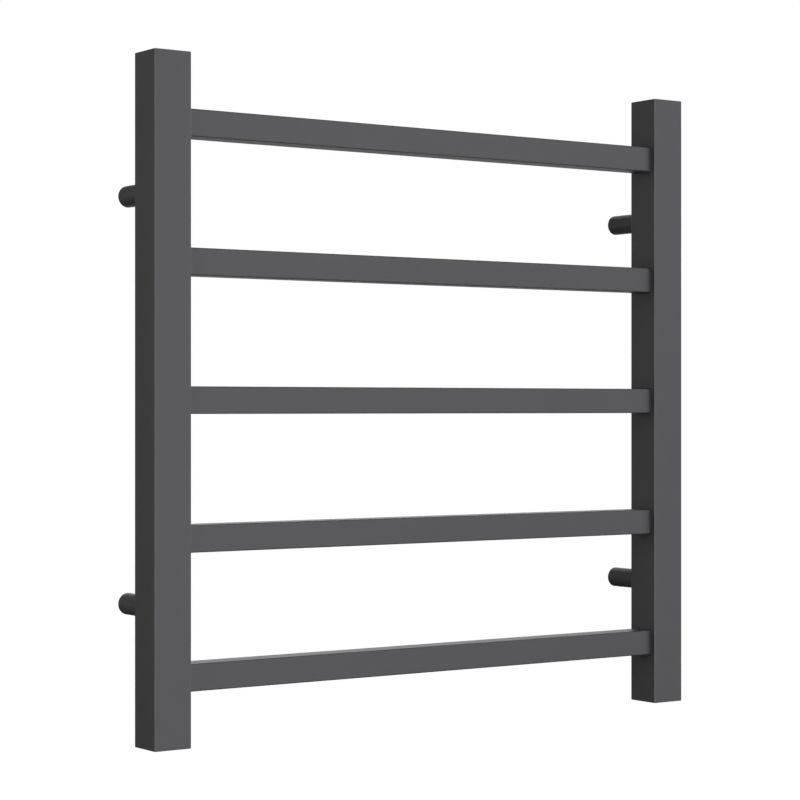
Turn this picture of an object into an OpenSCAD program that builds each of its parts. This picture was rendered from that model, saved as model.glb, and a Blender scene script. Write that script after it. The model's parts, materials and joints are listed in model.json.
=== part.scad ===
// Wall-hung electric towel warmer rack: a welded ladder of square steel tube that
// slides onto wall bosses, with a heating cable threaded through its tubes.
// Millimetres. X runs along the bars, +Z is up, and the wall is the plane Y = 0
// with the rack on its -Y side. The origin is midway between the two upper wall screws.

/* [Ladder] */
// Width over the two uprights
rack_w = 500; // [400:10:700]
// Height of the uprights
rack_h = 500; // [480:10:700]
// Side of the square upright tube
upright_size = 30; // [28:1:34]
// Side of the square bar tube
bar_size = 20; // [20:1:24]
// Distance from an upright's end to the nearest bar's centre
end_margin = 50; // [48:1:60]
// Wall thickness of both tubes
tube_wall = 1.5; // [1.2:0.1:2]
// Outside radius of the tubes' long edges
edge_r = 1; // [0.8:0.1:1.2]

/* [End caps] */
// Thickness of a cap's plate
cap_plate = 2; // [1.5:0.1:3]
// Depth of a cap's skirt behind its plate
cap_skirt = 8; // [5:1:9]

/* [Wall posts] */
// Outside diameter of a post
post_d = 16; // [15.5:0.5:18]
// Length of a post, from the upright's back to the wall
post_len = 38; // [36:0.5:60]
// Bore of a post
post_bore_d = 10; // [9.5:0.5:10]
// Height from the lower posts to the upper ones
post_rise = 300; // [280:10:320]

/* [Wall bosses] */
// Length of a boss, which stands inside its post
boss_len = 25; // [20:1:28]
// Hole for the wall screw
screw_hole_d = 4.5; // [4:0.1:5]
// Mouth of the countersink for the wall screw's head
countersink_d = 8.4; // [8:0.1:8.6]

/* [Set screws] */
// Thread size of a set screw
set_screw_d = 4; // [3:0.5:5]
// Length of a set screw
set_screw_len = 3; // [2.5:0.1:3]
// Width across the flats of its hex socket
hex_key = 2; // [1.3:0.1:2]
// Distance of the set screw from the wall
set_screw_y = 8; // [6:1:12]

/* [Heating] */
// Diameter of the heating cable
cable_d = 4; // [3:0.5:5]
// Bend radius of the heating cable, to its centreline
bend_r = 12; // [10:0.5:12]

/* [Hidden] */
$fn = 64;
SLACK = 1;          // how far a cutting tool runs past what it cuts
RUNNING_GAP = 0.08; // radial gap of a boss in its post
THREAD_GAP = 0.05;  // radial gap of a set screw in its hole
CAP_GAP = 0.05;     // gap between a cap and the tube around it
LEFT = -1;
RIGHT = 1;
TOP = 1;
BOTTOM = -1;

// Ladder
bar_count = 5;
bar_pitch = (rack_h - 2 * end_margin) / (bar_count - 1);
bar_len = rack_w - 2 * upright_size;
upright_x = (rack_w - upright_size) / 2;
rack_y = -(post_len + upright_size / 2);
rack_mid = -post_rise / 2;
rack_foot = rack_mid - rack_h / 2;
upright_bore = upright_size - 2 * tube_wall;
upright_back = rack_y + upright_bore / 2;
bar_bore = bar_size - 2 * tube_wall;
window_lip = 0.5;   // how far a window's edge stands inside the bar's bore
window = bar_bore - 2 * window_lip;

// Posts, bosses and bush
nipple_d = post_bore_d + 2;
boss_d = post_bore_d - 2 * RUNNING_GAP;
countersink_depth = (countersink_d - screw_hole_d) / 2;
bush_len = 8;
bush_bore_d = 7;

// Heating cable, which rests on the windows' lower edges
cable_drop = window / 2 - cable_d / 2;
cutout_d = 8;
cutout_len = 24;
cutout_low = cable_z(4) + (bar_pitch - cutout_len) / 2;
seal_d = 7;
seal_len = 25;
seal_top = cable_z(1) - 2 * bend_r;

// Joint to the supply lead, just above the lowest bar
cable_tail = 4;
joint_d = 10;
joint_len = 26;
joint_wall = 1;
joint_low = cable_z(bar_count) + bend_r + cable_tail;
crimp_d = 3;
crimp_bore = 1.5;
crimp_len = 15;
crimp_gap = 0.6;
crimp_lift = 3;

// Earth bond at the foot of the left upright
earth_wire_d = 2;
earth_y = rack_y + joint_d / 2 - earth_wire_d / 2;
tab_w = 6.3;
tab_t = 0.8;
tab_h = 11;
tab_low = rack_foot + cap_plate + cap_skirt + 3;
receptacle_wall = 0.5;
receptacle_h = 14;
receptacle_low = tab_low + 4;

// Height of a bar's centre; bar 1 is the top one.
function bar_z(i) = rack_mid + ((bar_count + 1) / 2 - i) * bar_pitch;

// Height of the heating cable where it runs through bar i.
function cable_z(i) = bar_z(i) - cable_drop;

// Height of the upper or the lower posts.
function post_z(level) = level == TOP ? 0 : -post_rise;

// Unit vector from one point to the next.
function toward(a, b) = (b - a) / norm(b - a);

module coat() { color([0.30, 0.30, 0.31]) children(); }
module cap_plastic() { color([0.27, 0.27, 0.28]) children(); }
module bright_steel() { color([0.72, 0.73, 0.74]) children(); }
module silicone() { color([0.82, 0.80, 0.74]) children(); }
module black() { color([0.08, 0.08, 0.08]) children(); }
module tinned() { color([0.78, 0.74, 0.60]) children(); }
module earth_green() { color([0.25, 0.55, 0.18]) children(); }

// A square with round corners, made of squares and circles so that the corners stay true arcs.
module round_square(side, r) {
    square([side - 2 * r, side], center = true);
    square([side, side - 2 * r], center = true);
    for (sx = [-1, 1], sy = [-1, 1])
        translate([sx, sy] * (side / 2 - r)) circle(r = r);
}

// Square tube along Z, centred on the origin.
module square_tube(side, length) {
    linear_extrude(height = length, center = true) difference() {
        round_square(side, edge_r);
        square(side - 2 * tube_wall, center = true);
    }
}

// Cylinder with its start at y = 0 that runs away from the wall.
module outward(d, length) {
    rotate([90, 0, 0]) cylinder(d = d, h = length);
}

// Upright: a tube with a window behind each bar and a round hole in its back for each post.
module upright(side) {
    cutter = tube_wall + 2 * SLACK;
    coat() difference() {
        translate([side * upright_x, rack_y, rack_mid]) square_tube(upright_size, rack_h);
        for (i = [1 : bar_count])
            translate([side * (bar_len / 2 + tube_wall / 2), rack_y, bar_z(i)])
                cube([cutter, window, window], center = true);
        for (level = [TOP, BOTTOM])
            translate([side * upright_x, SLACK - post_len, post_z(level)])
                outward(nipple_d, cutter);
    }
}

// Bar i, counted from the top: a tube welded between the uprights.
module bar(i) {
    coat() translate([0, rack_y, bar_z(i)]) rotate([0, 90, 0]) square_tube(bar_size, bar_len);
}

// Push-in cap that closes an upright's end flush, with a skirt that grips the tube.
module cap(side, end) {
    fit = upright_bore - 2 * CAP_GAP;
    hollow = fit - 2 * tube_wall;
    cap_plastic() translate([side * upright_x, rack_y, rack_mid + end * rack_h / 2])
        mirror([0, 0, end == TOP ? 1 : 0]) difference() {
            translate([-fit / 2, -fit / 2, 0]) cube([fit, fit, cap_plate + cap_skirt]);
            translate([-hollow / 2, -hollow / 2, cap_plate])
                cube([hollow, hollow, cap_skirt + SLACK]);
        }
}

// Post from the wall to the upright's back, where its nipple is welded into the hole.
// A clamped post has a radial hole for its set screw on the underside.
module post(side, level, clamped) {
    full_len = post_len + tube_wall;
    coat() translate([side * upright_x, 0, post_z(level)]) difference() {
        union() {
            outward(post_d, post_len);
            outward(nipple_d, full_len);
        }
        translate([0, SLACK, 0]) outward(post_bore_d, full_len + 2 * SLACK);
        if (clamped)
            translate([0, -set_screw_y, -post_d / 2 - SLACK])
                cylinder(d = set_screw_d, h = post_d / 2);
    }
}

// Soft bush where the supply lead leaves the wiring post.
module cable_bush() {
    black() translate([LEFT * upright_x, 0, post_z(BOTTOM)]) difference() {
        outward(post_bore_d, bush_len);
        translate([0, SLACK, 0]) outward(bush_bore_d, bush_len + 2 * SLACK);
    }
}

// Boss that a wall screw holds to the wall; its post slides over it.
module boss(side, level) {
    bright_steel() translate([side * upright_x, 0, post_z(level)]) difference() {
        outward(boss_d, boss_len);
        translate([0, SLACK, 0]) outward(screw_hole_d, boss_len + 2 * SLACK);
        translate([0, countersink_depth - boss_len, 0]) rotate([90, 0, 0])
            cylinder(d1 = screw_hole_d, d2 = countersink_d, h = countersink_depth);
    }
}

// Set screw in a post's underside, its flat point close to the boss.
module set_screw(side, level) {
    bright_steel()
        translate([side * upright_x, -set_screw_y, post_z(level) - boss_d / 2 - THREAD_GAP])
            mirror([0, 0, 1]) difference() {
                cylinder(d = set_screw_d - 2 * THREAD_GAP, h = set_screw_len);
                translate([0, 0, set_screw_len / 2])
                    cylinder(d = hex_key / cos(30), h = set_screw_len, $fn = 6);
            }
}

// Straight length of heating cable between two points, each [x, z].
module cable_run(a, b) {
    translate([a[0], rack_y, a[1]])
        rotate([0, atan2(b[0] - a[0], b[1] - a[1]), 0]) cylinder(d = cable_d, h = norm(b - a));
}

// Quarter bend at corner p, arriving along unit vector a and leaving along unit vector b.
module cable_bend(p, a, b) {
    centre = p + bend_r * (b - a);
    turns_left = a[0] * b[1] > a[1] * b[0];
    start = turns_left ? atan2(-b[1], -b[0]) : atan2(a[1], a[0]);
    translate([centre[0], rack_y, centre[1]]) rotate([90, 0, 0]) rotate([0, 0, start])
        rotate_extrude(angle = 90) translate([bend_r, 0]) circle(d = cable_d);
}

// Heating cable through a list of points, each [x, z], with a quarter bend at each inner one.
module cable(points) {
    last = len(points) - 1;
    for (i = [1 : last]) {
        along = toward(points[i - 1], points[i]);
        start_trim = i == 1 ? 0 : bend_r;
        end_trim = i == last ? 0 : bend_r;
        cable_run(points[i - 1] + start_trim * along, points[i] - end_trim * along);
    }
    for (i = [1 : last - 1])
        cable_bend(points[i], toward(points[i - 1], points[i]), toward(points[i], points[i + 1]));
}

// From the joint through the two lower bars to the cut-out.
module lower_heating_cable() {
    silicone() cable([
        [-upright_x, joint_low], [-upright_x, cable_z(5)], [upright_x, cable_z(5)],
        [upright_x, cable_z(4)], [-upright_x, cable_z(4)], [-upright_x, cutout_low]
    ]);
}

// From the cut-out through the three upper bars to the end seal.
module upper_heating_cable() {
    silicone() cable([
        [-upright_x, cutout_low + cutout_len], [-upright_x, cable_z(3)],
        [upright_x, cable_z(3)], [upright_x, cable_z(2)], [-upright_x, cable_z(2)],
        [-upright_x, cable_z(1)], [upright_x, cable_z(1)], [upright_x, seal_top]
    ]);
}

// Round barrel that stands on the centreline of an upright.
module barrel(side, d, low, length) {
    translate([side * upright_x, rack_y, low]) cylinder(d = d, h = length);
}

module thermal_cutout() {
    black() barrel(LEFT, cutout_d, cutout_low, cutout_len);
}

module cable_end_seal() {
    black() barrel(RIGHT, seal_d, seal_top - seal_len, seal_len);
}

// Shrunk sleeve, closed below around the heating cable and open above for the supply lead.
module joint_sleeve() {
    black() difference() {
        barrel(LEFT, joint_d, joint_low, joint_len);
        barrel(LEFT, joint_d - 2 * joint_wall, joint_low + joint_wall, joint_len);
    }
}

// Two crimp barrels side by side in the sleeve, for live and neutral.
module joint_crimps() {
    tinned() for (sx = [-1, 1])
        translate([sx * (crimp_d + crimp_gap) / 2, 0, 0]) difference() {
            barrel(LEFT, crimp_d, joint_low + crimp_lift, crimp_len);
            barrel(LEFT, crimp_bore, joint_low + crimp_lift - SLACK, crimp_len + 2 * SLACK);
        }
}

// Earth lead from the joint down to its receptacle.
module earth_lead() {
    receptacle_top = receptacle_low + receptacle_h;
    earth_green() translate([-upright_x, earth_y, receptacle_top])
        cylinder(d = earth_wire_d, h = joint_low - receptacle_top);
}

// Push-on receptacle over the earth tab's blade.
module earth_receptacle() {
    outer = [tab_w, tab_t, 0] + 2 * receptacle_wall * [1, 1, 0];
    tinned() translate([-upright_x, earth_y, receptacle_low]) difference() {
        translate(-outer / 2) cube(outer + [0, 0, receptacle_h]);
        translate([-tab_w / 2, -tab_t / 2, -SLACK])
            cube([tab_w, tab_t, tab_low + tab_h - receptacle_low + SLACK]);
    }
}

// Earth tab: a foot welded to the upright's back wall, a step forward and a blade that stands up.
module earth_tab() {
    front = earth_y - tab_t / 2;
    foot_h = 8;
    tinned() translate([-upright_x - tab_w / 2, 0, tab_low]) {
        translate([0, upright_back - tab_t, 0]) cube([tab_w, tab_t, foot_h]);
        translate([0, front, 0]) cube([tab_w, upright_back - front, tab_t]);
        translate([0, front, 0]) cube([tab_w, tab_t, tab_h]);
    }
}

upright(LEFT);  // left_upright
upright(RIGHT);  // right_upright
bar(1);  // bar_1
bar(2);  // bar_2
bar(3);  // bar_3
bar(4);  // bar_4
bar(5);  // bar_5
cap(LEFT, TOP);  // left_top_cap
cap(RIGHT, TOP);  // right_top_cap
cap(LEFT, BOTTOM);  // left_bottom_cap
cap(RIGHT, BOTTOM);  // right_bottom_cap
post(LEFT, TOP, true);  // left_upper_post
post(RIGHT, TOP, true);  // right_upper_post
post(RIGHT, BOTTOM, true);  // right_lower_post
post(LEFT, BOTTOM, false);  // wiring_post
cable_bush();
set_screw(LEFT, TOP);  // left_upper_set_screw
set_screw(RIGHT, TOP);  // right_upper_set_screw
set_screw(RIGHT, BOTTOM);  // right_lower_set_screw
boss(LEFT, TOP);  // left_upper_boss
boss(RIGHT, TOP);  // right_upper_boss
boss(RIGHT, BOTTOM);  // right_lower_boss
lower_heating_cable();
upper_heating_cable();
thermal_cutout();
cable_end_seal();
joint_sleeve();
joint_crimps();
earth_lead();
earth_receptacle();
earth_tab();
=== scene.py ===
"""Looks of the towel warmer rack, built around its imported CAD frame. All lengths are metres."""

import json
import math

import bmesh
import bpy
from mathutils import Matrix, Vector


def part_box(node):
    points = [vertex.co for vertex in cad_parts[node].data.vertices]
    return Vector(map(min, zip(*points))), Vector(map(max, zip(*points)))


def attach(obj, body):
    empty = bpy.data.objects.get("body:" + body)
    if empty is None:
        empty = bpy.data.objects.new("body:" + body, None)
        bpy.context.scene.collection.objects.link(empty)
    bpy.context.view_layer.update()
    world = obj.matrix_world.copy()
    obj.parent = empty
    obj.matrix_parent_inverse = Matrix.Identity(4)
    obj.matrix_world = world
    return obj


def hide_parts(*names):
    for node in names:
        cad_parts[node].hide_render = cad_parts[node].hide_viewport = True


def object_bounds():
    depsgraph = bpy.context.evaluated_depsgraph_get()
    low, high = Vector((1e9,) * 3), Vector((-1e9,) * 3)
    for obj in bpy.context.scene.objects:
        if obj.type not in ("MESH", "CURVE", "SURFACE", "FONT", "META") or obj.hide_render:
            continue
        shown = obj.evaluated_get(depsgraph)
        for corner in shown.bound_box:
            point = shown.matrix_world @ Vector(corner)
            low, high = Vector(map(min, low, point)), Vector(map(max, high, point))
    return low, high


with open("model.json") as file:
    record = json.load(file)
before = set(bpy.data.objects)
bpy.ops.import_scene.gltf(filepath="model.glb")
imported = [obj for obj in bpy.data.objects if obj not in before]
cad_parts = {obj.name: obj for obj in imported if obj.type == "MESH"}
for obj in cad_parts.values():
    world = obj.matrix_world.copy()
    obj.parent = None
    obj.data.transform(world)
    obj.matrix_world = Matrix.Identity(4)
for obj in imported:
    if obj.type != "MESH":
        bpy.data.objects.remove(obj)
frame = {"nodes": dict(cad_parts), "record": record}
cad_low, cad_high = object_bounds()

MM = 0.001
NODES = frame["nodes"]
SIDES = {"left": -1, "right": 1}
BAR_NODES = [f"bar_{i}" for i in range(1, 6)]
CLAMPED_POSTS = {
    "left_upper_post": "left_upper_boss",
    "right_upper_post": "right_upper_boss",
    "right_lower_post": "right_lower_boss",
}

# Sizes that the frame doesn't give: the tubes' walls and the small finishing shapes.
TUBE_WALL = 1.5 * MM
TUBE_EDGE_R = 1.0 * MM
TUBE_END_R = 0.45 * MM
INNER_EDGE_R = 0.3 * MM
SEAM_CHAMFER = 0.2 * MM
WELD_LEG = 0.5 * MM
POST_RIM_R = 0.3 * MM
POST_BORE_R = 5.0 * MM
NIPPLE_R = 6.0 * MM
SCREW_HOLE_R = 2.0 * MM
SCREW_HOLE_FLARE = 0.25 * MM
WINDOW_LIP = 0.5 * MM
WALL_SCREW_R = 2.25 * MM
COUNTERSINK_R = 4.2 * MM
BOSS_CHAMFER = 0.4 * MM
BUSH_BORE_R = 3.5 * MM
BUSH_LIP_R = 0.7 * MM
HEX_KEY = 2.0 * MM
HEX_DEPTH = 1.5 * MM
CUT_SLACK = 1.0 * MM
SCREW_CHAMFER = 0.3 * MM
CAP_PLATE = 2.0 * MM

SHARP_ANGLE = math.radians(40)
HIGHLIGHT_GAIN = 2.0   # how soon the painted edge highlight reaches its full strength around an edge

CORNER_STEPS = 8
ROUND_STEPS = 96
SMALL_ROUND_STEPS = 48


# ---------------------------------------------------------------- geometry helpers

def size_of(node):
    low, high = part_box(node)
    return high - low


def centre_of(node):
    low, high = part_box(node)
    return (low + high) / 2


def rounded_square(half, radius, steps=CORNER_STEPS):
    """Outline of a square of that half width with round corners, as (a, b) points."""
    points = []
    for corner in range(4):
        turn = corner * math.pi / 2
        mid_a = (half - radius) * (1 if corner in (0, 3) else -1)
        mid_b = (half - radius) * (1 if corner in (0, 1) else -1)
        for step in range(steps + 1):
            angle = turn + step / steps * math.pi / 2
            points.append((mid_a + radius * math.cos(angle), mid_b + radius * math.sin(angle)))
    return points


def circle(radius, steps=ROUND_STEPS):
    return [(radius * math.cos(t * math.tau / steps), radius * math.sin(t * math.tau / steps))
            for t in range(steps)]


def loft(sections, place, ring=True):
    """A bmesh through sections of (outline, height), in order. place turns (a, b, height) into a
    point. A ring joins the last section to the first; otherwise both ends are filled."""
    bm = bmesh.new()
    loops = [[bm.verts.new(place(a, b, height)) for a, b in outline] for outline, height in sections]
    count = len(loops[0])
    pairs = list(zip(loops, loops[1:] + loops[:1])) if ring else list(zip(loops, loops[1:]))
    for first, second in pairs:
        for i in range(count):
            j = (i + 1) % count
            bm.faces.new((first[i], first[j], second[j], second[i]))
    if not ring:
        bm.faces.new(loops[0])
        bm.faces.new(loops[-1])
    bmesh.ops.recalc_face_normals(bm, faces=bm.faces)
    return bm


def along_z(x, y):
    return lambda a, b, height: Vector((x + a, y + b, height))


def along_x(y, z):
    return lambda a, b, height: Vector((height, y + a, z + b))


def along_y(x, z):
    return lambda a, b, height: Vector((x + a, height, z + b))


def new_object(name, bm):
    mesh = bpy.data.meshes.new(name)
    bm.to_mesh(mesh)
    bm.free()
    obj = bpy.data.objects.new(name, mesh)
    bpy.context.scene.collection.objects.link(obj)
    return obj


def apply_modifiers(obj):
    """Bakes the modifiers of obj into its mesh."""
    graph = bpy.context.evaluated_depsgraph_get()
    mesh = bpy.data.meshes.new_from_object(obj.evaluated_get(graph))
    obj.modifiers.clear()
    obj.data = mesh


def cut(obj, cutters):
    """Takes each cutter's solid out of obj."""
    for cutter in cutters:
        modifier = obj.modifiers.new("cut", "BOOLEAN")
        modifier.operation = "DIFFERENCE"
        modifier.solver = "EXACT"
        modifier.object = cutter
    bpy.context.view_layer.update()
    apply_modifiers(obj)
    for cutter in cutters:
        bpy.data.objects.remove(cutter)


def finish_shading(obj):
    """Smooth faces with hard corners, whose normals follow the larger faces, so that flats stay flat."""
    for polygon in obj.data.polygons:
        polygon.use_smooth = True
    obj.data.set_sharp_from_angle(angle=SHARP_ANGLE)
    normals = obj.modifiers.new("normals", "WEIGHTED_NORMAL")
    normals.weight = 100
    normals.keep_sharp = True


def paint_edge_highlight(obj, centre, half, radius):
    """Writes the mask of a painted highlight: 1 along the rounded long edges of an upright and 0 on its
    flats.
    """
    edge_highlight = obj.data.attributes.new("edge_highlight", "FLOAT", "POINT")
    for vertex, value in zip(obj.data.vertices, edge_highlight.data):
        bend = HIGHLIGHT_GAIN
        for axis in (0, 1):
            reach = abs(vertex.co[axis] - centre[axis]) - (half - radius)
            bend *= min(max(reach / radius, 0.0), 1.0)
        value.value = min(bend, 1.0)


def put(obj, material, body, slot, *stands_for):
    obj.data.materials.clear()
    obj.data.materials.append(material)
    finish_shading(obj)
    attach(obj, body)
    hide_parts(*stands_for)
    return obj


def quarter(steps=4):
    """Angles of a quarter turn, both ends included."""
    return [i / steps * math.pi / 2 for i in range(steps + 1)]


# ---------------------------------------------------------------- materials

def material_of(name, colour, roughness, metallic=0.0):
    """A material with its node tree, shader and object coordinates."""
    material = bpy.data.materials.new(name)
    material.use_nodes = True
    nodes = material.node_tree.nodes
    shader = nodes["Principled BSDF"]
    shader.inputs["Base Color"].default_value = (*colour, 1)
    shader.inputs["Roughness"].default_value = roughness
    shader.inputs["Metallic"].default_value = metallic
    return material, nodes, material.node_tree.links, shader, nodes.new("ShaderNodeTexCoord")


def noise(nodes, links, coordinates, scale, detail=2.0):
    node = nodes.new("ShaderNodeTexNoise")
    node.inputs["Scale"].default_value = scale
    node.inputs["Detail"].default_value = detail
    links.new(coordinates, node.inputs["Vector"])
    return node.outputs["Fac"]


def ranged(nodes, links, value, low, high, start=0.3, end=0.7):
    node = nodes.new("ShaderNodeMapRange")
    node.inputs["From Min"].default_value = start
    node.inputs["From Max"].default_value = end
    node.inputs["To Min"].default_value = low
    node.inputs["To Max"].default_value = high
    links.new(value, node.inputs["Value"])
    return node.outputs["Result"]


def bump(nodes, links, height, distance, strength, before=None):
    node = nodes.new("ShaderNodeBump")
    node.inputs["Distance"].default_value = distance
    node.inputs["Strength"].default_value = strength
    links.new(height, node.inputs["Height"])
    if before is not None:
        links.new(before, node.inputs["Normal"])
    return node.outputs["Normal"]


def mixed(nodes, links, factor, first, second):
    """A mix of two colours, each a tuple or a socket."""
    node = nodes.new("ShaderNodeMix")
    node.data_type = "RGBA"
    links.new(factor, node.inputs["Factor"])
    for key, value in (("A", first), ("B", second)):
        socket = [s for s in node.inputs if s.name == key and s.type == "RGBA"][0]
        if isinstance(value, tuple):
            socket.default_value = (*value, 1)
        else:
            links.new(value, socket)
    return [s for s in node.outputs if s.type == "RGBA"][0]


COAT = (0.0750, 0.0750, 0.0772)
COAT_WARM = (0.0785, 0.0782, 0.0795)
# Paler colour put on the uprights' rounded long edges: a painted highlight.
PAINTED_EDGE_HIGHLIGHT = (0.170, 0.170, 0.174)

# Scales of the noise textures, in features a metre.
TONE_SCALE = 14
PEEL_SCALE = 520
COAT_GRAIN_SCALE = 2600
MOULD_TONE_SCALE = 60
MOULD_GRAIN_SCALE = 1800
SMUDGE_SCALE = 300
WAVE_RATE = 20   # radians that a wave texture of scale 1 turns in a metre

# Heights of the bumps, and how far the roughness strays from its middle.
PEEL_HEIGHT = 0.05 * MM
COAT_GRAIN_HEIGHT = 0.02 * MM
MOULD_GRAIN_HEIGHT = 0.03 * MM
MOULD_BAND = 0.06
METAL_BAND = 0.04


def powder_coat():
    """Satin powder coat: fine orange peel, a finer grain, and a painted highlight along the uprights' long
    edges.
    """
    material, nodes, links, shader, coordinates = material_of("powder_coat", COAT, 0.5)
    place = coordinates.outputs["Object"]
    patches = noise(nodes, links, place, TONE_SCALE)
    tone = mixed(nodes, links, ranged(nodes, links, patches, 0, 1), COAT, COAT_WARM)
    # Mask of the painted edge highlight, which lightens the coat's colour along the uprights' long edges.
    edge_highlight = nodes.new("ShaderNodeAttribute")
    edge_highlight.attribute_name = "edge_highlight"
    links.new(mixed(nodes, links, edge_highlight.outputs["Fac"], tone, PAINTED_EDGE_HIGHLIGHT), shader.inputs["Base Color"])
    grain = noise(nodes, links, place, COAT_GRAIN_SCALE, 3)
    links.new(ranged(nodes, links, grain, 0.46, 0.56), shader.inputs["Roughness"])
    peel = bump(nodes, links, noise(nodes, links, place, PEEL_SCALE, 1), PEEL_HEIGHT, 0.25)
    links.new(bump(nodes, links, grain, COAT_GRAIN_HEIGHT, 0.3, peel), shader.inputs["Normal"])
    return material


def moulded_plastic(name, colour, roughness):
    """Matt moulded plastic or rubber with a spark-eroded grain."""
    material, nodes, links, shader, coordinates = material_of(name, colour, roughness)
    place = coordinates.outputs["Object"]
    grain = noise(nodes, links, place, MOULD_GRAIN_SCALE, 3)
    darker = tuple(c * 0.85 for c in colour)
    tone = ranged(nodes, links, noise(nodes, links, place, MOULD_TONE_SCALE), 0, 1)
    links.new(mixed(nodes, links, tone, colour, darker), shader.inputs["Base Color"])
    rough = ranged(nodes, links, grain, roughness - MOULD_BAND, roughness + MOULD_BAND)
    links.new(rough, shader.inputs["Roughness"])
    links.new(bump(nodes, links, grain, MOULD_GRAIN_HEIGHT, 0.35), shader.inputs["Normal"])
    return material


def turned_metal(name, colour, roughness, pitch, axis):
    """Machined metal, whose turning marks at that pitch along that axis vary its roughness."""
    material, nodes, links, shader, coordinates = material_of(name, colour, roughness, 1.0)
    place = coordinates.outputs["Object"]
    marks = nodes.new("ShaderNodeTexWave")
    marks.bands_direction = axis
    marks.inputs["Scale"].default_value = math.tau / (WAVE_RATE * pitch)
    marks.inputs["Distortion"].default_value = 0.6
    links.new(place, marks.inputs["Vector"])
    smudge = noise(nodes, links, place, SMUDGE_SCALE, 3)
    paler = tuple(min(1.0, c * 1.06) for c in colour)
    tone = ranged(nodes, links, smudge, 0, 1)
    links.new(mixed(nodes, links, tone, colour, paler), shader.inputs["Base Color"])
    bands = ranged(nodes, links, marks.outputs["Fac"], roughness - METAL_BAND, roughness + METAL_BAND, 0, 1)
    links.new(bands, shader.inputs["Roughness"])
    return material


coat = powder_coat()
finishes = {
    "coat": coat,
    "cap_plastic": moulded_plastic("cap_plastic", (0.066, 0.066, 0.069), 0.55),
    "boss_steel": turned_metal("boss_steel", (0.56, 0.56, 0.55), 0.5, 0.5 * MM, "Y"),
    "screw_steel": turned_metal("screw_steel", (0.36, 0.36, 0.36), 0.4, 0.8 * MM, "Z"),
    "silicone": moulded_plastic("silicone", (0.62, 0.58, 0.48), 0.6),
    "black_rubber": moulded_plastic("black_rubber", (0.02, 0.02, 0.02), 0.65),
    "black_plastic": moulded_plastic("black_plastic", (0.025, 0.025, 0.025), 0.5),
    "tinned_brass": turned_metal("tinned_brass", (0.62, 0.57, 0.42), 0.35, 0.5 * MM, "X"),
    "earth_insulation": moulded_plastic("earth_insulation", (0.08, 0.30, 0.05), 0.45),
}


# ---------------------------------------------------------------- camera and light

CAMERA_YAW = math.radians(35.09)
CAMERA_FROM_RACK = Vector((-1.0487, -1.4396, -0.0047))   # from the front face's centre
CAMERA_LENS = 103.8
CAMERA_RISE = 0.0083


def make_camera():
    low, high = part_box("left_upright")
    front_centre = Vector((0, low.y, (low.z + high.z) / 2))
    data = bpy.data.cameras.new("camera")
    data.lens = CAMERA_LENS
    data.shift_y = CAMERA_RISE
    data.clip_end = 100
    camera = bpy.data.objects.new("camera", data)
    camera.location = front_centre + CAMERA_FROM_RACK
    camera.rotation_euler = (math.pi / 2, 0, -CAMERA_YAW)
    bpy.context.scene.collection.objects.link(camera)
    bpy.context.scene.camera = camera


COOL = (1.0, 1.0, 1.035)
NEUTRAL = (1.0, 1.0, 1.0)
WARM = (1.0, 1.0, 0.975)
# Softboxes around the rack. Each has a name, degrees to the right of the rack's front, degrees up,
# metres away, width, height, watts and a colour.
SOFTBOXES = [
    ("key", 15, 0, 4, 2.6, 2.1, 50, COOL),
    ("key_low", 15, -20, 4, 2.4, 1.3, 22, COOL),
    ("key_high", 39, 27, 4, 2.0, 1.7, 34, COOL),
    ("right", 60, 0, 5, 2.0, 2.6, 24, COOL),
    ("fill", -20, 0, 4, 1.2, 2.1, 10, COOL),
    ("left", -75, 6, 3, 1.2, 1.8, 18, WARM),
    ("rear_left", -115, 4, 3, 1.6, 1.8, 14, WARM),
    ("rear_high", 165, 18, 4, 4.6, 2.1, 12, NEUTRAL),
    ("rear_right_high", 150, 13, 4, 2.9, 1.1, 22, NEUTRAL),
    ("rear_right_low", 150, -13, 4, 2.9, 1.1, 13, NEUTRAL),
    ("rear_top", 150, 50, 4, 2.1, 1.6, 26, NEUTRAL),
]


def make_lights():
    centre = (cad_low + cad_high) / 2
    for name, round_to_right, up, distance, width, height, power, colour in SOFTBOXES:
        azimuth, elevation = math.radians(round_to_right), math.radians(up)
        outward = Vector((math.sin(azimuth) * math.cos(elevation), -math.cos(azimuth) * math.cos(elevation),
                          math.sin(elevation)))
        data = bpy.data.lights.new(name, "AREA")
        data.shape = "RECTANGLE"
        data.size = width
        data.size_y = height
        data.energy = power
        data.color = colour
        light = bpy.data.objects.new(name, data)
        light.location = centre + outward * distance
        light.rotation_euler = (-outward).to_track_quat("-Z", "Y").to_euler()
        light.visible_camera = False
        bpy.context.scene.collection.objects.link(light)


AMBIENT = 0.02
WHITE_GROUND = 1.0
FLOOR_DROP = 3.0


def make_world():
    """Pure white to the camera and a dim, even light to everything else."""
    world = bpy.data.worlds.new("studio")
    bpy.context.scene.world = world
    world.use_nodes = True
    nodes, links = world.node_tree.nodes, world.node_tree.links
    background = nodes["Background"]
    background.inputs["Color"].default_value = (1, 1, 1, 1)
    path = nodes.new("ShaderNodeLightPath")
    strength = ranged(nodes, links, path.outputs["Is Camera Ray"], AMBIENT, WHITE_GROUND, 0, 1)
    links.new(strength, background.inputs["Strength"])


def make_floor():
    """A pale floor that the softboxes below the rack shine through."""
    bm = bmesh.new()
    bmesh.ops.create_circle(bm, cap_ends=True, radius=30, segments=64)
    floor = new_object("floor", bm)
    floor.location = (0, 0, cad_low.z - FLOOR_DROP)
    material, _, _, shader, _ = material_of("pale_floor", (0.9, 0.9, 0.9), 0.9)
    shader.inputs["Emission Color"].default_value = (1, 1, 1, 1)
    shader.inputs["Emission Strength"].default_value = 1.0
    floor.data.materials.append(material)
    floor.visible_diffuse = False
    floor.visible_glossy = False
    floor.visible_shadow = False


# ---------------------------------------------------------------- pieces

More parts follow.
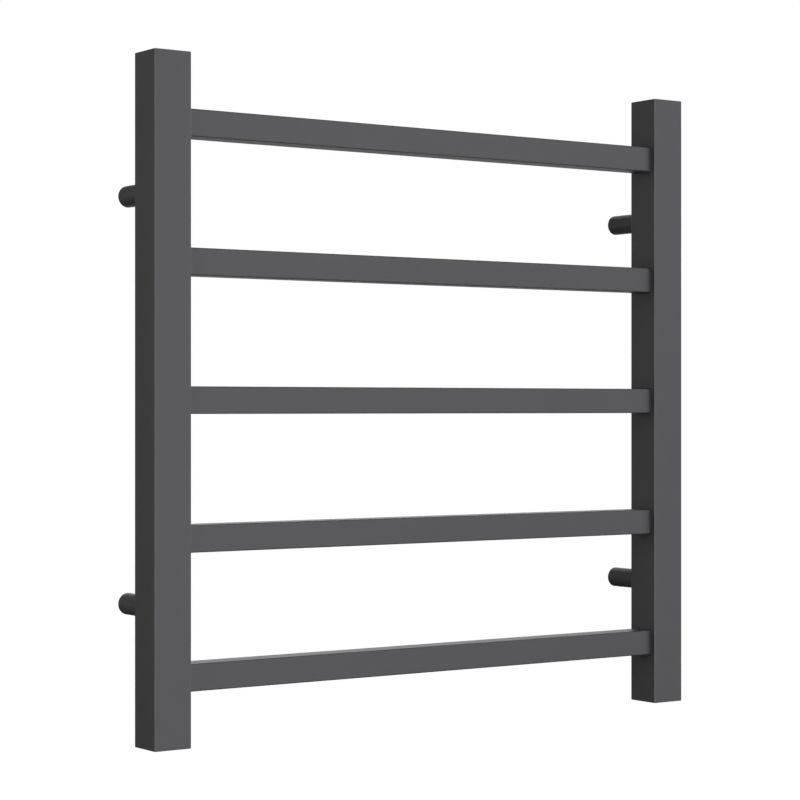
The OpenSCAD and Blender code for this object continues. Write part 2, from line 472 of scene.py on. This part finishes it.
def end_profile(low, high, half, radius):
    """Sections of a tube's outside between two rounded ends."""
    sections = []
    for angle in quarter():
        inset = TUBE_END_R * (1 - math.sin(angle))
        depth = TUBE_END_R * (1 - math.cos(angle))
        sections.append((rounded_square(half - inset, radius - inset), low + depth))
    for angle in reversed(quarter()):
        inset = TUBE_END_R * (1 - math.sin(angle))
        depth = TUBE_END_R * (1 - math.cos(angle))
        sections.append((rounded_square(half - inset, radius - inset), high - depth))
    return sections


def box_cutter(name, centre, size):
    bm = bmesh.new()
    bmesh.ops.create_cube(bm, size=1, matrix=Matrix.Translation(centre) @ Matrix.Diagonal((*size, 1)))
    return new_object(name, bm)


def drill(name, x, z, low_y, high_y, radius):
    """A round cutter along the wall's axis."""
    return new_object(name, loft([(circle(radius), low_y), (circle(radius), high_y)], along_y(x, z), False))


def make_upright(side):
    """Upright tube with round ends, a window behind each bar and a hole for each post."""
    node = f"{side}_upright"
    low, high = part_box(node)
    half = (high.x - low.x) / 2
    centre = centre_of(node)
    inner = half - TUBE_WALL
    sections = end_profile(low.z, high.z, half, TUBE_EDGE_R)
    wide = inner + SEAM_CHAMFER
    sections += [
        (rounded_square(wide, INNER_EDGE_R + SEAM_CHAMFER), high.z),
        (rounded_square(inner, INNER_EDGE_R), high.z - SEAM_CHAMFER),
        (rounded_square(inner, INNER_EDGE_R), low.z + SEAM_CHAMFER),
        (rounded_square(wide, INNER_EDGE_R + SEAM_CHAMFER), low.z),
    ]
    upright = new_object(f"{side}_upright_tube", loft(sections, along_z(centre.x, centre.y)))
    bar_half = size_of("bar_1").z / 2
    window = 2 * (bar_half - TUBE_WALL - WINDOW_LIP)
    inner_x = centre.x - SIDES[side] * (half - TUBE_WALL / 2)
    cutters = [
        box_cutter(f"{side}_window", Vector((inner_x, centre.y, centre_of(bar).z)),
                   (TUBE_WALL + 2 * CUT_SLACK, window, window))
        for bar in BAR_NODES
    ]
    for post in [p for p in ("left_upper_post", "wiring_post", "right_upper_post", "right_lower_post")
                 if centre_of(p).x * SIDES[side] > 0]:
        cutters.append(drill(f"{post}_hole", centre.x, centre_of(post).z,
                             high.y - TUBE_WALL - CUT_SLACK, high.y + CUT_SLACK, NIPPLE_R))
    cut(upright, cutters)
    # Marks the rounded long edges that get the painted highlight.
    paint_edge_highlight(upright, centre, half, TUBE_EDGE_R)
    put(upright, coat, "rack", "coat", node)


def make_bar(node):
    """Bar tube whose ends flare into small weld fillets on the uprights."""
    low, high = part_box(node)
    half = (high.z - low.z) / 2
    centre = centre_of(node)
    inner = half - TUBE_WALL
    sections = []
    for angle in quarter(5):
        spread = WELD_LEG * (1 - math.sin(angle))
        depth = WELD_LEG * (1 - math.cos(angle))
        sections.append((rounded_square(half + spread, TUBE_EDGE_R + spread), low.x + depth))
    for angle in reversed(quarter(5)):
        spread = WELD_LEG * (1 - math.sin(angle))
        depth = WELD_LEG * (1 - math.cos(angle))
        sections.append((rounded_square(half + spread, TUBE_EDGE_R + spread), high.x - depth))
    sections += [
        (rounded_square(inner, INNER_EDGE_R), high.x),
        (rounded_square(inner, INNER_EDGE_R), low.x),
    ]
    bar = new_object(f"{node}_tube", loft(sections, along_x(centre.y, centre.z)))
    put(bar, coat, "rack", "coat", node)


def make_cap(node):
    """Push-in end cap with a chamfered plate and a hollow skirt."""
    low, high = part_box(node)
    centre = centre_of(node)
    half = (high.x - low.x) / 2
    top = "top" in node
    outside, inside = (high.z, low.z) if top else (low.z, high.z)
    inward = -1 if top else 1
    hollow = half - TUBE_WALL
    sections = [
        (rounded_square(half - SEAM_CHAMFER, INNER_EDGE_R), outside),
        (rounded_square(half, INNER_EDGE_R + SEAM_CHAMFER), outside + inward * SEAM_CHAMFER),
        (rounded_square(half, INNER_EDGE_R + SEAM_CHAMFER), inside),
        (rounded_square(hollow, INNER_EDGE_R), inside),
        (rounded_square(hollow, INNER_EDGE_R), outside + inward * CAP_PLATE),
    ]
    put(new_object(f"{node}_plug", loft(sections, along_z(centre.x, centre.y), False)),
        finishes["cap_plastic"], "rack", "cap_plastic", node)


def make_post(node):
    """Round post with a softened wall rim, a weld fillet at the upright and, where it clamps a
    boss, the flared hole of its set screw."""
    low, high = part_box(node)
    centre = centre_of(node)
    radius = (high.x - low.x) / 2
    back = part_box("left_upright")[1].y
    sections = []
    for angle in quarter():
        inset = POST_RIM_R * (1 - math.sin(angle))
        sections.append((circle(radius - inset), high.y - POST_RIM_R * (1 - math.cos(angle))))
    for angle in reversed(quarter(5)):
        spread = WELD_LEG * (1 - math.sin(angle))
        sections.append((circle(radius + spread), back + WELD_LEG * (1 - math.cos(angle))))
    sections += [
        (circle(NIPPLE_R), back),
        (circle(NIPPLE_R), low.y),
        (circle(POST_BORE_R), low.y),
        (circle(POST_BORE_R), high.y - SEAM_CHAMFER),
        (circle(POST_BORE_R + SEAM_CHAMFER), high.y),
    ]
    post = new_object(f"{node}_tube", loft(sections, along_y(centre.x, centre.z)))
    if node in CLAMPED_POSTS:
        screw = centre_of(node.replace("post", "set_screw"))
        rim = low.z
        hole = [
            (circle(SCREW_HOLE_R, SMALL_ROUND_STEPS), centre.z - POST_BORE_R + CUT_SLACK),
            (circle(SCREW_HOLE_R, SMALL_ROUND_STEPS), rim + SCREW_HOLE_FLARE),
            (circle(SCREW_HOLE_R + 2 * SCREW_HOLE_FLARE, SMALL_ROUND_STEPS), rim - SCREW_HOLE_FLARE),
        ]
        cut(post, [new_object(f"{node}_drill", loft(hole, along_z(screw.x, screw.y), False))])
    put(post, coat, "rack", "coat", node)


def make_boss(node):
    """Turned boss with chamfered ends and a countersunk hole for its wall screw."""
    low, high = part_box(node)
    centre = centre_of(node)
    radius = (high.x - low.x) / 2
    sections = [
        (circle(radius - BOSS_CHAMFER), high.y),
        (circle(radius), high.y - BOSS_CHAMFER),
        (circle(radius), low.y + BOSS_CHAMFER),
        (circle(radius - BOSS_CHAMFER), low.y),
        (circle(COUNTERSINK_R), low.y),
        (circle(WALL_SCREW_R), low.y + COUNTERSINK_R - WALL_SCREW_R),
        (circle(WALL_SCREW_R), high.y),
    ]
    put(new_object(f"{node}_turned", loft(sections, along_y(centre.x, centre.z))),
        finishes["boss_steel"], "wall_bosses", "boss_steel", node)


def hexagon(across, steps):
    """A hexagon of that width across its flats, with steps points, a multiple of six."""
    points = []
    for i in range(steps):
        angle = i * math.tau / steps
        offset = (angle + math.pi / 6) % (math.pi / 3) - math.pi / 6
        reach = across / 2 / math.cos(offset)
        points.append((reach * math.cos(angle), reach * math.sin(angle)))
    return points


def make_set_screw(node):
    """Set screw with chamfered ends and a hex socket that opens downwards."""
    low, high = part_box(node)
    centre = centre_of(node)
    radius = (high.x - low.x) / 2
    steps = SMALL_ROUND_STEPS
    sections = [
        (circle(radius - SCREW_CHAMFER, steps), high.z),
        (circle(radius, steps), high.z - SCREW_CHAMFER),
        (circle(radius, steps), low.z + SCREW_CHAMFER),
        (circle(radius - SCREW_CHAMFER, steps), low.z),
        (hexagon(HEX_KEY + SCREW_CHAMFER, steps), low.z),
        (hexagon(HEX_KEY, steps), low.z + SCREW_CHAMFER / 2),
        (hexagon(HEX_KEY, steps), low.z + HEX_DEPTH),
    ]
    put(new_object(f"{node}_socket", loft(sections, along_z(centre.x, centre.y), False)),
        finishes["screw_steel"], f"{node}_body", "screw_steel", node)


def make_bush():
    """Rubber bush with a rolled lip around the supply lead's outlet."""
    low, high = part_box("cable_bush")
    centre = centre_of("cable_bush")
    radius = (high.x - low.x) / 2
    sections = []
    for angle in quarter():
        sections.append((circle(radius - BUSH_LIP_R + BUSH_LIP_R * math.cos(angle)), high.y - BUSH_LIP_R
                         + BUSH_LIP_R * math.sin(angle)))
    for angle in quarter():
        sections.append((circle(BUSH_BORE_R + BUSH_LIP_R - BUSH_LIP_R * math.sin(angle)),
                         high.y - BUSH_LIP_R + BUSH_LIP_R * math.cos(angle)))
    sections += [(circle(BUSH_BORE_R), low.y), (circle(radius), low.y)]
    put(new_object("cable_bush_lipped", loft(sections, along_y(centre.x, centre.z))),
        finishes["black_rubber"], "rack", "black_rubber", "cable_bush")


def dress_hidden_nodes():
    """The heating parts sealed in the tubes keep their CAD shapes and get their materials."""
    slots = {row["node"]: row["material_slot"] for row in frame["record"]["subparts"]}
    for name, node in NODES.items():
        if not node.hide_render:
            node.data.materials.clear()
            node.data.materials.append(finishes[slots[name]])


make_camera()
make_world()
make_floor()
make_lights()
bpy.context.scene.view_settings.view_transform = "Standard"
for side in SIDES:
    make_upright(side)
    make_cap(f"{side}_top_cap")
    make_cap(f"{side}_bottom_cap")
for bar in BAR_NODES:
    make_bar(bar)
for post in [*CLAMPED_POSTS, "wiring_post"]:
    make_post(post)
for boss in CLAMPED_POSTS.values():
    make_boss(boss)
    make_set_screw(boss.replace("boss", "set_screw"))
make_bush()
dress_hidden_nodes()
